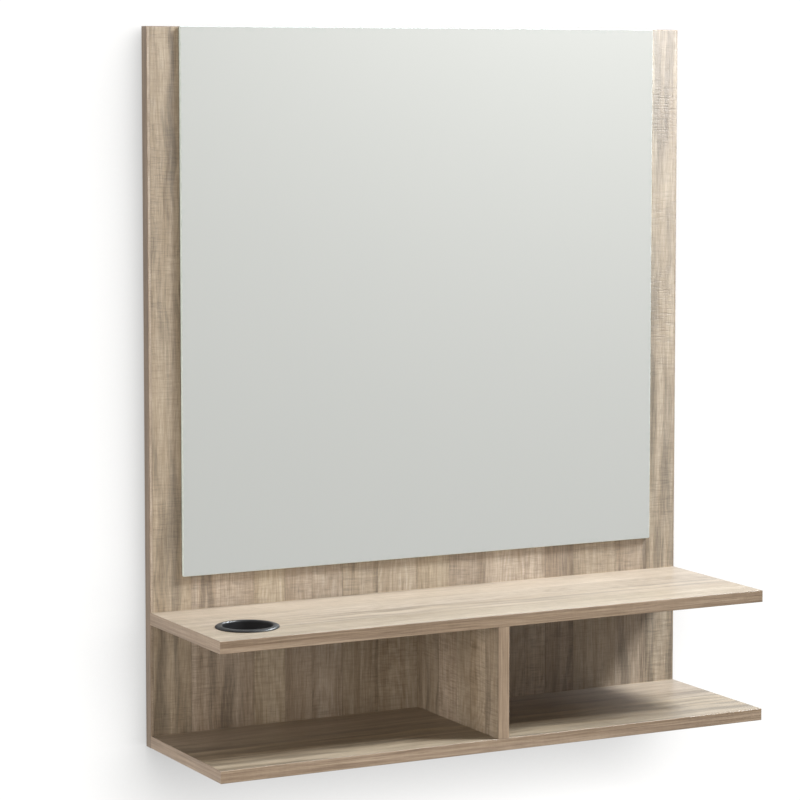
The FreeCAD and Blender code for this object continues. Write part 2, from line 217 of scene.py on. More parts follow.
# %% The sawn-oak group
OAK_STOPS = [
    (0.00, (0.230, 0.168, 0.112)),
    (0.30, (0.323, 0.249, 0.179)),
    (0.55, (0.383, 0.303, 0.226)),
    (0.78, (0.439, 0.354, 0.272)),
    (1.00, (0.503, 0.418, 0.333)),
]
STAVE_HUES = [
    (0.0, (0.99, 1.00, 0.93)),
    (0.5, (0.98, 1.00, 1.02)),
    (1.0, (1.03, 0.99, 0.97)),
]


def sawn_oak():
    """Group with Colour, Roughness and Height of planked sawn oak."""
    tree, given, end = new_group(
        "sawn_oak",
        [("Vector", VECTOR, None), ("Stave Width", FLOAT, 0.056), ("Staves", FLOAT, 1.0),
         ("Saw Marks", FLOAT, 1.0)],
        [("Colour", COLOUR), ("Roughness", FLOAT), ("Height", FLOAT)],
    )
    across, depth, along = split(tree, given["Vector"])
    staves, marks = Field(tree, given["Staves"]), Field(tree, given["Saw Marks"])

    # each stave draws three random numbers, which set its tone, its place in the log and its marks
    place = across / Field(tree, given["Stave Width"])
    cells = {"W": place, "Scale": 1.0, "Randomness": 0.8}
    stave = add(tree, "ShaderNodeTexVoronoi", cells, voronoi_dimensions="1D")
    tone, shift, wild = split(tree, stave.outputs["Color"])
    joint = add(tree, "ShaderNodeTexVoronoi", cells,
                voronoi_dimensions="1D", feature="DISTANCE_TO_EDGE")
    joint = Field(tree, joint.outputs["Distance"]).step(0.030, 0.004) * staves
    log = shift * staves * 31.0 + depth

    # the grain wanders a few millimetres from side to side
    wander = noise(tree, vector(tree, across * 6.0, log, along * 2.2), 1.0) - 0.5
    grain = across + wander * 0.020
    fibre = noise(tree, vector(tree, grain * 480.0, log, along * 26.0), 3.0, 0.62)
    streak = noise(tree, vector(tree, grain * 105.0, log + 4.0, along * 4.0), 3.0, 0.6)
    broad = noise(tree, vector(tree, grain * 24.0, log + 9.0, along * 1.6), 2.0, 0.5, 0.5)

    # heartwood shows as smoky streaks that wave, on about half of the staves
    bend = noise(tree, vector(tree, across * 14.0, log + 13.0, along * 9.0), 1.0) - 0.5
    bent = (across + bend * 0.028) * 52.0
    smoke = noise(tree, vector(tree, bent, log + 17.0, along * 3.6), 3.0, 0.6)
    smoke = smoke.step(0.46, 0.64) * (wild * -1.0 + 1.0).step(0.35, 0.65) * staves

    # arches are the level lines of a slow noise, drawn on the wilder staves only
    slope = noise(tree, vector(tree, grain * 16.0, log + 23.0, along * 4.5), 1.0)
    arch = (slope * 95.0 + streak * 4.0).maths("SINE") * 0.5 + 0.5
    arch = arch * (wild * staves).step(0.62, 0.80)

    # the blade left level lines over every board, deeper in patches
    saw = noise(tree, vector(tree, across * 40.0, log, along * 400.0 + across * 9.0), 3.0, 0.66)
    patch = noise(tree, vector(tree, across * 10.0, log + 31.0, along * 7.0), 1.0).step(0.38, 0.62)
    cut = (patch * 0.6 + 0.52) * marks
    saw_dark = saw.step(0.52, 0.34) * cut
    saw_pale = saw.step(0.50, 0.68) * cut
    pores = noise(tree, vector(tree, grain * 1300.0, log, along * 55.0), 0.0).step(0.60, 0.70)

    shade = fibre * 0.34 + streak * 0.32 + broad * 0.34
    colour = ramp(tree, shade.step(0.28, 0.72) + arch * 0.22 - 0.05, OAK_STOPS)
    hue = blend(tree, 1.0, colour, ramp(tree, shift, STAVE_HUES), "MULTIPLY")
    colour = blend(tree, staves, colour, hue)
    cloud = noise(tree, vector(tree, across * 2.2, depth + 3.0, along * 2.0), 1.0)
    light = (tone - 0.5) * staves * 0.15 + (cloud - 0.5) * 0.16 + 1.0
    light = light * ((fibre - 0.5) * 0.22 + 1.0)
    light = light * (saw_pale * 0.12 + 1.0) * (saw_dark * -0.17 + 1.0)
    light = light * (smoke * -0.38 + 1.0) * (pores * -0.18 + 1.0) * (joint * -0.16 + 1.0)
    colour = blend(tree, 1.0, colour, vector(tree, light, light, light), "MULTIPLY")

    roughness = fibre * 0.12 + saw_dark * 0.08 + 0.28
    height = fibre * 0.45 + streak * 0.25 - saw_dark * 0.5 - pores * 0.4 - joint * 0.5
    feed_all(tree, end, {"Colour": colour, "Roughness": roughness, "Height": height})
    return tree


SAWN_OAK = sawn_oak()
print("sawn_oak has", len(SAWN_OAK.nodes), "nodes")

# %% [markdown]
# ## Particleboard
# Under the paper the boards are pressed wood chips. It shows only where a board is cut: in the
# hole for the ring, and on the edges behind the bands if the station is taken apart. Chips are
# flat cells a few millimetres across in three woody tones.

# %% The particleboard group
def particleboard():
    """Group with Colour and Height of pressed chips."""
    tree, given, end = new_group(
        "particleboard", [("Vector", VECTOR, None)], [("Colour", COLOUR), ("Height", FLOAT)]
    )
    chips = add(tree, "ShaderNodeTexVoronoi", {"Vector": given["Vector"], "Scale": 420.0})
    pick, spare, other = split(tree, chips.outputs["Color"])
    gap = Field(tree, chips.outputs["Distance"]).step(0.35, 0.75)
    dust = noise(tree, given["Vector"], scale=1500.0)
    colour = ramp(tree, pick * 0.8 + other * 0.2, [
        (0.0, (0.235, 0.150, 0.082)),
        (0.5, (0.420, 0.290, 0.170)),
        (1.0, (0.590, 0.450, 0.290)),
    ])
    colour = blend(tree, gap * 0.45, colour, (0.13, 0.080, 0.045, 1.0))
    feed_all(tree, end, {"Colour": colour, "Height": spare * 0.6 - gap + dust * 0.1})
    return tree


PARTICLEBOARD = particleboard()
print("particleboard has", len(PARTICLEBOARD.nodes), "nodes")

# %% [markdown]
# ## Wear along edges
# Furniture is handled at its edges, so they are a little paler and rougher. On a box the
# nearest edge of a face is as far away as the second nearest side, so the group sorts the
# three distances to the sides and keeps the middle one.

# %% The edge-wear group
def edge_wear():
    """Group with a Wear mask: 1 on the edges of the box from Low to High, broken up by noise."""
    tree, given, end = new_group(
        "edge_wear",
        [("Vector", VECTOR, None), ("Low", VECTOR, None), ("High", VECTOR, None),
         ("Reach", FLOAT, 0.004)],
        [("Wear", FLOAT)],
    )
    point = split(tree, given["Vector"])
    sides = zip(point, split(tree, given["Low"]), split(tree, given["High"]))
    gaps = [(value - start).maths("MINIMUM", stop - value) for value, start, stop in sides]
    smaller, larger = gaps[0].maths("MINIMUM", gaps[1]), gaps[0].maths("MAXIMUM", gaps[1])
    middle = smaller.maths("MAXIMUM", larger.maths("MINIMUM", gaps[2]))
    ragged = noise(tree, given["Vector"], 3.0, 0.65, scale=90.0)
    worn = (middle / Field(tree, given["Reach"])).step(1.0, 0.0) * ragged.step(0.42, 0.66)
    feed(tree, end.inputs["Wear"], worn)
    return tree


EDGE_WEAR = edge_wear()
print("edge_wear has", len(EDGE_WEAR.nodes), "nodes")

# %% [markdown]
# ## Handling marks
# No used surface is equally shiny all over. Wipe marks and dust change its roughness in soft
# patches and faint arcs. The boards, their bands, the mirror and the ring share this group,
# each with its own strength.

# %% The handling group
def handling():
    """Group with a Marks mask from 0 to 1: soft blotches crossed by faint wipe streaks."""
    tree, given, end = new_group(
        "handling", [("Vector", VECTOR, None), ("Scale", FLOAT, 1.0)], [("Marks", FLOAT)]
    )
    scale = Field(tree, given["Scale"])
    x, y, z = [value * scale for value in split(tree, given["Vector"])]
    scaled = vector(tree, x, y, z)
    blotch = noise(tree, scaled, 3.0, 0.55, scale=7.0)
    bend = noise(tree, scaled, 1.0, scale=2.0)
    wipe = noise(tree, vector(tree, (x + bend * 0.4) * 60.0, y * 5.0, (z - x * 0.5) * 7.0), 2.0)
    marks = blotch.step(0.38, 0.72) * 0.6 + wipe.step(0.45, 0.75) * 0.4
    feed(tree, end.inputs["Marks"], marks)
    return tree


HANDLING = handling()
print("handling has", len(HANDLING.nodes), "nodes")


# %% A new material with its shader
def new_material(name):
    """Material, its tree, its Principled shader and the socket of the piece's own coordinates."""
    material = bpy.data.materials.new(name)
    material.use_nodes = True
    tree = material.node_tree
    tree.nodes.clear()
    shader = tree.nodes.new("ShaderNodeBsdfPrincipled")
    output = tree.nodes.new("ShaderNodeOutputMaterial")
    tree.links.new(shader.outputs[0], output.inputs["Surface"])
    where = tree.nodes.new("ShaderNodeTexCoord").outputs["Object"]
    return material, tree, shader, where


def bump(tree, shader, height, depth, strength):
    """Feeds the shader's normal from a height field; depth is in metres."""
    node = add(tree, "ShaderNodeBump", {"Height": height, "Distance": depth, "Strength": strength})
    tree.links.new(node.outputs[0], shader.inputs["Normal"])


print("materials start from a Principled shader")

# %% [markdown]
# ## Laminate on the boards
# Each board shows the print on its two faces and raw chips on its other sides. The material
# reads the direction of the surface to tell them apart. The three numbers of the position are
# put in the order across, depth, along, so that the grain stands upright on the panel and the
# divider and lies lengthwise on the shelves. Each board is cut from another part of the print.

# %% Laminate
def laminate(node, across, face, along, sheet, marks):
    """Board material: across, face and along are axis numbers, sheet is the board's place in the
    print, and marks is how strongly its saw marks and its relief show."""
    material, tree, shader, where = new_material("laminate_" + node)
    spot = split(tree, where)
    place = vector(tree, spot[across] + sheet[0], sheet[1], spot[along] + sheet[2])
    paper = use_group(tree, SAWN_OAK, {"Vector": place, "Saw Marks": marks})
    chips = use_group(tree, PARTICLEBOARD, {"Vector": where})
    facing = split(tree, where.node.outputs["Normal"])[face].maths("ABSOLUTE").step(0.4, 0.6)
    box = {"Vector": where, "Low": low(node), "High": high(node), "Reach": 3.0 * MM}
    wear = mask_from(tree, EDGE_WEAR, box)
    handled = mask_from(tree, HANDLING, {"Vector": where})
    colour = blend(tree, wear * 0.10, paper.outputs["Colour"], (0.56, 0.50, 0.42, 1.0))
    colour = blend(tree, facing, chips.outputs["Colour"], colour)
    roughness = Field(tree, paper.outputs["Roughness"]) + handled * 0.06 + wear * 0.1
    feed_all(tree, shader, {
        "Base Color": colour,
        "Roughness": facing * (roughness - 0.9) + 0.9,
        "Specular IOR Level": 0.45,
    })
    height = facing * Field(tree, paper.outputs["Height"])
    height = height + (facing * -1.0 + 1.0) * Field(tree, chips.outputs["Height"])
    bump(tree, shader, height, 0.00025, 0.15 + 0.4 * marks)
    return material


X, Y, Z = 0, 1, 2
BOARDS = {
    "back_panel": laminate("back_panel", X, Y, Z, sheet=(0.0, 0.0, 0.0), marks=1.0),
    "divider": laminate("divider", Y, X, Z, sheet=(2.31, 5.0, 0.4), marks=1.0),
    "upper_shelf": laminate("upper_shelf", Y, Z, X, sheet=(4.12, 9.0, 2.7), marks=0.2),
    "lower_shelf": laminate("lower_shelf", Y, Z, X, sheet=(6.53, 13.0, 5.1), marks=0.2),
}
for name, material in BOARDS.items():
    NODES[name].material_slots[0].material = material
print("laminate on", ", ".join(BOARDS))

# %% [markdown]
# ## Edge bands
# The sawn edges are covered with a millimetre of plastic band, printed to go with the boards
# but a shade browner, because it comes from another roll. It has no staves: just long fine
# lines. Its print lies on the wide side only, so its thickness shows the plain brown plastic.

# %% Edge bands
BAND_CORE = np.array([0.27, 0.205, 0.150])


def edge_band(name, across, along, sheet, tone):
    """Band material with lines along one axis; sheet picks a place in the print and tone scales
    how pale it is: the band's own colour, and on the panel's sides painted shade as well."""
    material, tree, shader, where = new_material(name)
    spot = split(tree, where)
    place = vector(tree, spot[across] * 1.6 + sheet, sheet, spot[along] * 0.7 + sheet)
    paper = use_group(tree, SAWN_OAK, {"Vector": place, "Staves": 0.0, "Saw Marks": 0.25})
    line = noise(tree, vector(tree, spot[across] * 330.0, sheet, spot[along] * 5.0), 2.0, 0.6)
    dark, pale = np.array([0.70, 0.64, 0.60]) * tone, np.array([0.98, 0.93, 0.88]) * tone
    tint = ramp(tree, line.step(0.3, 0.7), [(0.0, dark), (1.0, pale)])
    colour = blend(tree, 1.0, paper.outputs["Colour"], tint, "MULTIPLY")
    thickness = split(tree, where.node.outputs["Normal"])[across].maths("ABSOLUTE").step(0.4, 0.6)
    core = ramp(tree, line, [(0.3, BAND_CORE * 0.9), (0.7, BAND_CORE * 1.1)])
    colour = blend(tree, thickness, colour, core)
    handled = mask_from(tree, HANDLING, {"Vector": where, "Scale": 2.0})
    roughness = Field(tree, paper.outputs["Roughness"]) + 0.02 + handled * 0.06
    feed_all(tree, shader, {
        "Base Color": colour, "Roughness": roughness, "Specular IOR Level": 0.40,
    })
    bump(tree, shader, Field(tree, paper.outputs["Height"]) + line * 0.4, 0.00015, 0.6)
    return material


LENGTHWISE = edge_band("band_lengthwise", Z, X, sheet=1.7, tone=1.04)
# the panel's sides stand next to the wall: their low tone is painted shade
UPRIGHT_SIDE_SHADED = edge_band("band_upright_side_shaded", Y, Z, sheet=3.1, tone=0.66)
UPRIGHT_FRONT = edge_band("band_upright_front", X, Z, sheet=4.9, tone=1.15)
FRONT_TO_BACK = edge_band("band_front_to_back", Z, Y, sheet=6.2, tone=0.98)
PANEL_END = edge_band("band_panel_end", Y, X, sheet=8.8, tone=0.80)
BANDS = {
    "panel_left_band": UPRIGHT_SIDE_SHADED, "panel_right_band": UPRIGHT_SIDE_SHADED,
    "panel_top_band": PANEL_END, "panel_bottom_band": PANEL_END,
    "divider_front_band": UPRIGHT_FRONT,
}
for shelf in ("upper_shelf", "lower_shelf"):
    BANDS[shelf + "_front_band"] = LENGTHWISE
    BANDS[shelf + "_left_band"] = FRONT_TO_BACK
    BANDS[shelf + "_right_band"] = FRONT_TO_BACK
for name, material in BANDS.items():
    NODES[name].material_slots[0].material = material
print(len(BANDS), "edge bands")

# %% [markdown]
# ## Surfaces from formulas
# The pieces that replace CAD nodes are all grids: rings of points, one ring after another. A
# function gives every ring at once as an array, and this helper turns the array into faces.
# Rings close on themselves, and the first and last ring are closed with a flat cap unless the
# rings themselves form a loop, as round a sleeve. One piece may be several such shells.

# %% Meshes from rings
def new_object(name, data):
    """Object made of a mesh, a lamp or a lens and put into the scene."""
    made = bpy.data.objects.new(name, data)
    bpy.context.scene.collection.objects.link(made)
    return made


def mesh_from_rings(name, shells, loop=False):
    """Object of closed shells: faces join neighbouring points of each array shells[k][i, j]."""
    points, faces, caps, used = [], [], [], 0
    for grid in shells:
        count, around = grid.shape[:2]
        index = np.arange(count * around).reshape(count, around) + used
        used += count * around
        points.append(grid.reshape(-1, 3))
        ahead = np.roll(index, -1, axis=1)
        corners = [index, ahead, np.roll(ahead, -1, axis=0), np.roll(index, -1, axis=0)]
        if not loop:
            corners = [corner[:-1] for corner in corners]
            caps += [index[0, ::-1].tolist(), index[-1].tolist()]
        faces += np.stack(corners, axis=-1).reshape(-1, 4).tolist()
    mesh = bpy.data.meshes.new(name)
    mesh.from_pydata(np.concatenate(points).tolist(), [], faces + caps)
    mesh.set_sharp_from_angle(angle=math.radians(35))
    curved = np.arange(len(mesh.polygons)) < len(faces)
    mesh.polygons.foreach_set("use_smooth", curved)
    return new_object(name, mesh)


def stand_in_for(piece, body, slot, *nodes):
    """Hangs a finished piece on its body in place of the CAD nodes it stands for."""
    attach(piece, body)
    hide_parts(*nodes)
    print(piece.name, "has", len(piece.data.polygons), "faces")
    return piece


# %% [markdown]
# ## The mirror
# The mirror is a pane of 5 mm float glass with its edge ground and its corners dubbed, silvered
# on the back and glued to the panel. Seen from the room nearly all the light comes from the
# silver, so the front is made a near-perfect metal mirror, and the ground edge, where the eye
# looks into the glass itself, is a satin sea-green. The outline is a square whose corners are
# quarter circles; five rings of it, set in and out, make the edge and its two arrises.

# %% The pane's shape
PANE_LOW, PANE_HIGH = low("mirror_glass"), high("mirror_glass")
ARRIS = 0.7 * MM
PANE_CORNER = 2.0 * MM


def rounded_square(inset, depth):
    """Ring of a square with round corners: each point is a corner's centre plus a turned radius."""
    steps = 9
    quarter = np.linspace(0.0, math.pi / 2, steps)
    angles = np.concatenate([quarter + math.pi / 2 * corner for corner in range(4)])
    signs = np.repeat([[1, 1], [-1, 1], [-1, -1], [1, -1]], steps, axis=0)
    middle = (PANE_LOW + PANE_HIGH)[[0, 2]] / 2
    half = (PANE_HIGH - PANE_LOW)[[0, 2]] / 2 - PANE_CORNER
    radius = PANE_CORNER - inset
    outline = middle + signs * half + radius * np.stack([np.cos(angles), np.sin(angles)], axis=1)
    return np.stack([outline[:, 0], np.full(len(angles), depth), outline[:, 1]], axis=1)


PANE_RINGS = np.array([
    rounded_square(ARRIS * 0.5, PANE_HIGH[1]),
    rounded_square(0.0, PANE_HIGH[1] - ARRIS * 0.5),
    rounded_square(0.0, PANE_LOW[1] + ARRIS),
    rounded_square(ARRIS * 0.35, PANE_LOW[1] + ARRIS * 0.35),
    rounded_square(ARRIS, PANE_LOW[1]),
])
pane = mesh_from_rings("mirror_pane", [PANE_RINGS])
print("pane", (PANE_HIGH - PANE_LOW).round(4))


# %% The pane's materials
def silvered_face():
    """Front of the mirror: silver seen through clear glass, with faint wipe marks."""
    material, tree, shader, where = new_material("silvered_face")
    mask = mask_from(tree, HANDLING, {"Vector": where})
    box = {"Vector": where, "Low": PANE_LOW, "High": PANE_HIGH, "Reach": 12.0 * MM}
    dim = mask_from(tree, EDGE_WEAR, box)
    colour = blend(tree, mask * 0.3, (0.925, 0.940, 0.930, 1.0), (0.905, 0.925, 0.915, 1.0))
    colour = blend(tree, dim * 0.5, colour, (0.86, 0.90, 0.88, 1.0))
    feed_all(tree, shader, {
        "Base Color": colour, "Metallic": 1.0, "Roughness": mask * 0.012 + 0.008,
    })
    return material


def ground_edge():
    """Ground and polished rim of float glass: pale sea-green, greyer where the wheel bit."""
    material, tree, shader, where = new_material("ground_glass_edge")
    x, y, z = split(tree, where)
    lines = noise(tree, vector(tree, x * 90.0, y * 2600.0, z * 90.0), 2.0, 0.6)
    colour = ramp(tree, lines.step(0.3, 0.7), [
        (0.0, (0.56, 0.66, 0.62)),
        (1.0, (0.80, 0.87, 0.84)),
    ])
    feed_all(tree, shader, {
        "Base Color": colour, "Roughness": lines * 0.22 + 0.16, "IOR": 1.52, "Coat Weight": 0.5,
    })
    bump(tree, shader, lines, 0.00005, 0.5)
    return material


pane.data.materials.append(ground_edge())
pane.data.materials.append(silvered_face())
pane.data.polygons[len(pane.data.polygons) - 1].material_index = 1
stand_in_for(pane, "station", "mirror_glass", "mirror_glass")


# %% [markdown]
# ## The dryer ring
# The ring is a black moulding that drops into the shelf: a domed flange and a sleeve that the
# dryer's barrel rests in. It is a turned shape, so it is one outline swept round a circle. The
# outline is made of arcs with the flange's own measures, read from the frame, and a fine ledge
# where the two halves of the mould met.

# %% The ring's shape
RING_LOW, RING_HIGH = low("dryer_ring"), high("dryer_ring")
RING_CENTRE = (RING_LOW + RING_HIGH) / 2
FLANGE_RADIUS = (RING_HIGH[0] - RING_LOW[0]) / 2
BORE_RADIUS = FLANGE_RADIUS - 10.0 * MM
SLEEVE_WALL = 2.0 * MM
CREST_RADIUS = BORE_RADIUS + 3.0 * MM
CREST_HEIGHT = RING_HIGH[2] - SHELF_TOP
LEDGE_HEIGHT = 0.6 * MM
MOUTH_FOOT = 0.4 * MM
UNDERCUT = 0.3 * MM


def arc(centre, half_size, start, end, steps):
    """Points (across, up) of an ellipse's arc: centre plus half size times cosine and sine."""
    angle = np.radians(np.linspace(start, end, steps))
    return np.array(centre) + np.stack([np.cos(angle), np.sin(angle)], 1) * half_size


def ring_outline():
    """Closed outline of the ring's wall: flange, ledge, dome, mouth, bore, lower lip and sleeve."""
    dome_size = (FLANGE_RADIUS - CREST_RADIUS, CREST_HEIGHT - LEDGE_HEIGHT)
    dome = arc((CREST_RADIUS, LEDGE_HEIGHT), dome_size, 0, 90, 18)
    mouth_size = (CREST_RADIUS - BORE_RADIUS, CREST_HEIGHT - MOUTH_FOOT)
    mouth = arc((CREST_RADIUS, MOUTH_FOOT), mouth_size, 90, 180, 14)
    lip_radius = SLEEVE_WALL / 2
    lip_centre = (BORE_RADIUS + lip_radius, RING_LOW[2] - SHELF_TOP + lip_radius)
    lip = arc(lip_centre, (lip_radius, lip_radius), 180, 360, 12)
    under = np.array([[BORE_RADIUS + SLEEVE_WALL, 0.0], [FLANGE_RADIUS - UNDERCUT, 0.0]])
    return np.concatenate([under, dome, mouth[1:], lip])


def turned(outline, centre, around):
    """Rings of a shape turned on an upright axis: each outline point goes round its own circle."""
    angle = np.linspace(0.0, 2 * math.pi, around, endpoint=False)
    radius, height = outline[:, :1], outline[:, 1:]
    x = centre[0] + radius * np.cos(angle)
    y = centre[1] + radius * np.sin(angle)
    z = centre[2] + height + 0.0 * angle
    return np.stack([x, y, z], axis=-1)


RING_ORIGIN = np.array([RING_CENTRE[0], RING_CENTRE[1], SHELF_TOP])
RING_SHELL = turned(ring_outline(), RING_ORIGIN, 160)
ring = mesh_from_rings("dryer_ring_moulding", [RING_SHELL], loop=True)


# %% The ring's plastic
def black_moulding():
    """Satin black plastic: spark-eroded grain, wipe marks, a crest paler and smoother in patches.
    """
    material, tree, shader, where = new_material("black_moulding")
    grain = noise(tree, where, scale=2600.0)
    mask = mask_from(tree, HANDLING, {"Vector": where, "Scale": 6.0})
    paler_above = SHELF_TOP + CREST_HEIGHT * 0.72
    crest = (split(tree, where)[Z] - paler_above).step(0.0, 0.8 * MM)
    colour = blend(tree, mask * 0.5, (0.011, 0.011, 0.012, 1.0), (0.022, 0.021, 0.021, 1.0))
    # the crest's colour goes paler in patches of the handling mask
    colour = blend(tree, crest * mask * 0.5, colour, (0.045, 0.045, 0.046, 1.0))
    feed_all(tree, shader, {
        "Base Color": colour,
        "Roughness": mask * 0.10 + crest * -0.04 + 0.44,
        "Specular IOR Level": 0.35,
    })
    bump(tree, shader, grain, 0.00003, 0.5)
    return material


ring.data.materials.append(black_moulding())
stand_in_for(ring, "dryer_holder", "black_plastic", "dryer_ring")

# %% [markdown]
# ## Fasteners
# The screws and dowels are turned shapes too, but their radius also changes round the circle:
# a hexagon or a cross at the recess, a ridge that winds round the shank, flutes along a dowel.
# Each shape is a list of rings, drawn once along its own axis with heights counted from the
# place it is driven from. The copies go where the CAD solids are: the solids of one node
# stand apart along one axis, so cutting their points at the gaps gives each one's box.

# %% Rings and seats for fasteners
AROUND = 48
TURN = np.linspace(0.0, 2 * math.pi, AROUND, endpoint=False)


def rings(steps):
    """Rings from (radius, height) pairs in millimetres; a radius may change round the ring."""
    made = []
    for radius, height in steps:
        radius = np.broadcast_to(radius, AROUND)
        made.append(np.stack([radius * np.cos(TURN), radius * np.sin(TURN), TURN * 0 + height], 1))
    return np.array(made) * MM


def hexagon(across_flats):
    """Radius of a hexagon: half the width across flats over the cosine of the angle from a flat."""
    off_flat = (TURN + math.pi / 6) % (math.pi / 3) - math.pi / 6
    return across_flats / 2 / np.cos(off_flat)


def cross(arm, slot):
    """Radius of a cross: the farther reach of two crossed bars, arm long and slot wide from the
    middle."""
    side, up = np.abs(np.cos(TURN)) + 1e-6, np.abs(np.sin(TURN)) + 1e-6
    level, upright = np.minimum(arm / side, slot / up), np.minimum(arm / up, slot / side)
    return np.maximum(level, upright)


def thread(start, end, pitch, root, crest, steps=9):
    """Rings of a winding ridge: its height is a sharp wave of turns made minus turns wound."""
    count = int((end - start) / pitch * steps)
    made = []
    for height in np.linspace(start, end, count):
        phase = (height / pitch - TURN / (2 * math.pi)) % 1.0
        ridge = np.clip(1.0 - np.abs(phase - 0.5) * 4.0, 0.0, 1.0)
        lead_in = min(1.0, (height - start) / pitch)
        made.append((root + (crest - root) * ridge * lead_in, height))
    return made


def taper(steps, end, tip):
    """The last threaded ring narrowed towards a blunt tip over a few rings."""
    radius, height = steps[-1]
    share = np.linspace(0.15, 1.0, 7)
    return steps + [(radius * (1 - s) + tip * s, height + (end - height) * s) for s in share]


def islands(node, axis):
    """Lowest and highest corner of each separate solid of a node, in order along an axis."""
    points = np.array([vertex.co for vertex in NODES[node].data.vertices])
    points = points[points[:, axis].argsort()]
    gaps = np.flatnonzero(np.diff(points[:, axis]) > 10 * MM) + 1
    return [(part.min(0), part.max(0)) for part in np.split(points, gaps)]


def driven(shape, seats, drive, back=0.0):
    """Copies of a shape at the solids' boxes, pointing along drive and moved back along it."""
    drive = np.array(drive, float)
    across = np.array([1.0, 0.0, 0.0])
    axes = np.array([across, np.cross(drive, across), drive])
    copies = []
    for lowest, highest in seats:
        start = np.where(drive > 0, lowest, highest)
        start = np.where(drive == 0, (lowest + highest) / 2, start)
        copies.append(shape @ axes + start + drive * back)
    return copies


# %% Shapes of the fasteners
def furniture_screw():
    """Screw for boards: hex socket, countersunk head, plain shank, coarse thread, blunt tip."""
    socket = hexagon(4.0)
    head = [
        (0.2, 2.8), (socket * 0.96, 2.8), (socket, 2.6), (socket, 0.35), (socket * 1.12, 0.0),
        (4.75, 0.0), (4.93, 0.08), (5.0, 0.25), (5.0, 0.8), (4.7, 1.1), (3.62, 2.2), (3.5, 2.5),
        (3.5, 11.6), (3.3, 12.0), (2.35, 12.2),
    ]
    return rings(taper(head + thread(12.4, 45.0, 3.0, 2.3, 3.2), 50.0, 1.28))


def pan_screw():
    """Chipboard screw with a domed head and a cross recess."""
    head = [
        (0.1, -1.0), (cross(1.5, 0.42), -1.05), (cross(2.2, 0.50), -2.1), (cross(2.32, 0.56), -2.2),
        (3.1, -2.2), (3.55, -2.08), (3.85, -1.8), (4.0, -1.4), (4.0, -0.1), (3.9, 0.0),
        (2.1, 0.0), (1.95, 0.2),
    ]
    return rings(taper(head + thread(0.6, 11.8, 1.8, 1.25, 2.0), 15.0, 0.25))


def flat_screw():
    """Chipboard screw with a countersunk head and a cross recess."""
    head = [
        (0.1, 1.2), (cross(1.5, 0.42), 1.15), (cross(2.2, 0.50), 0.1), (cross(2.32, 0.56), 0.0),
        (3.8, 0.0), (4.0, 0.06), (3.95, 0.2), (2.0, 2.2), (1.9, 3.0),
    ]
    return rings(taper(head + thread(3.6, 13.8, 1.8, 1.25, 2.0), 17.0, 0.25))


def dowel():
    """Beech dowel 8 by 30 with sixteen flutes that let the glue and air out."""
    flute = 0.28 * np.clip(np.cos(TURN * 16), 0.0, 1.0) ** 0.5
    body = 4.0 - flute
    return rings([(2.9, 0.0), (3.05, 0.02), (body - 0.1, 0.95), (body, 1.2), (body, 15.0),
                  (body, 28.8), (body - 0.1, 29.05), (3.05, 29.98), (2.9, 30.0)])


# %% Finishes of the fasteners
def zinc_plate():
    """Bright zinc with the straw and blue tints of its passivation and small scuffs."""
    material, tree, shader, where = new_material("zinc_plate")
    tint = noise(tree, where, scale=420.0).step(0.3, 0.7)
    scuff = noise(tree, where, 3.0, 0.6, scale=2520.0)
    colour = ramp(tree, tint, [
        (0.0, (0.60, 0.64, 0.69)),
        (0.6, (0.72, 0.72, 0.71)),
        (1.0, (0.76, 0.72, 0.60)),
    ])
    feed_all(tree, shader, {
        "Base Color": colour, "Metallic": 1.0, "Roughness": scuff * 0.30 + 0.20,
    })
    bump(tree, shader, scuff, 0.00003, 0.4)
    return material


def beech():
    """Pale pinkish beech with close fibres and short brown rays."""
    material, tree, shader, where = new_material("beech")
    x, y, z = split(tree, where)
    fibre = noise(tree, vector(tree, x * 2400.0, y * 160.0, z * 1700.0), 3.0, 0.6)
    ray = noise(tree, vector(tree, x * 3000.0, y * 520.0, z * 900.0), 1.0).step(0.62, 0.70)
    colour = ramp(tree, fibre.step(0.25, 0.75), [
        (0.0, (0.430, 0.265, 0.150)),
        (1.0, (0.660, 0.465, 0.300)),
    ])
    colour = blend(tree, ray * 0.6, colour, (0.25, 0.13, 0.065, 1.0))
    feed_all(tree, shader, {"Base Color": colour, "Roughness": fibre * 0.2 + 0.55})
    bump(tree, shader, fibre - ray * 0.5, 0.00012, 0.7)
    return material


def dress(piece, material):
    """Gives a new piece its only material."""
    piece.data.materials.append(material)
    return piece


INTO_ROOM, UPWARD, DOWNWARD = (0, -1, 0), (0, 0, 1), (0, 0, -1)
ZINC, BEECH = zinc_plate(), beech()
FASTENERS = [
    ("upper_shelf_screws", furniture_screw(), X, INTO_ROOM, 0.0),
    ("lower_shelf_screws", furniture_screw(), X, INTO_ROOM, 0.0),
    ("divider_base_screws", furniture_screw(), Y, UPWARD, 0.0),
    ("divider_back_screws", furniture_screw(), Z, INTO_ROOM, 0.0),
    ("panel_rail_screws", pan_screw(), X, INTO_ROOM, 2.2 * MM),
    ("spacer_screws", flat_screw(), X, INTO_ROOM, 0.0),
    ("upper_shelf_dowels", dowel(), X, INTO_ROOM, 0.0),
    ("lower_shelf_dowels", dowel(), X, INTO_ROOM, 0.0),
    ("divider_top_dowels", dowel(), Y, DOWNWARD, 0.0),
]
for node, shape, axis, drive, back in FASTENERS:
    made = mesh_from_rings(node.replace("screws", "threaded").replace("dowels", "fluted"),
                           driven(shape, islands(node, axis), drive, back))
    if "dowels" in node:
        stand_in_for(dress(made, BEECH), "station", "beech_dowel", node)
    else:
        stand_in_for(dress(made, ZINC), "station", "zinc_plated_steel", node)

# %% [markdown]
# ## Behind the mirror
# Mirror glue goes on in upright beads and spreads when the pane is pressed home, so a bead's
# section is a flat cushion whose width wavers along its length. It is a superellipse, which is
# an ellipse with squarer shoulders, carried up the Z axis.

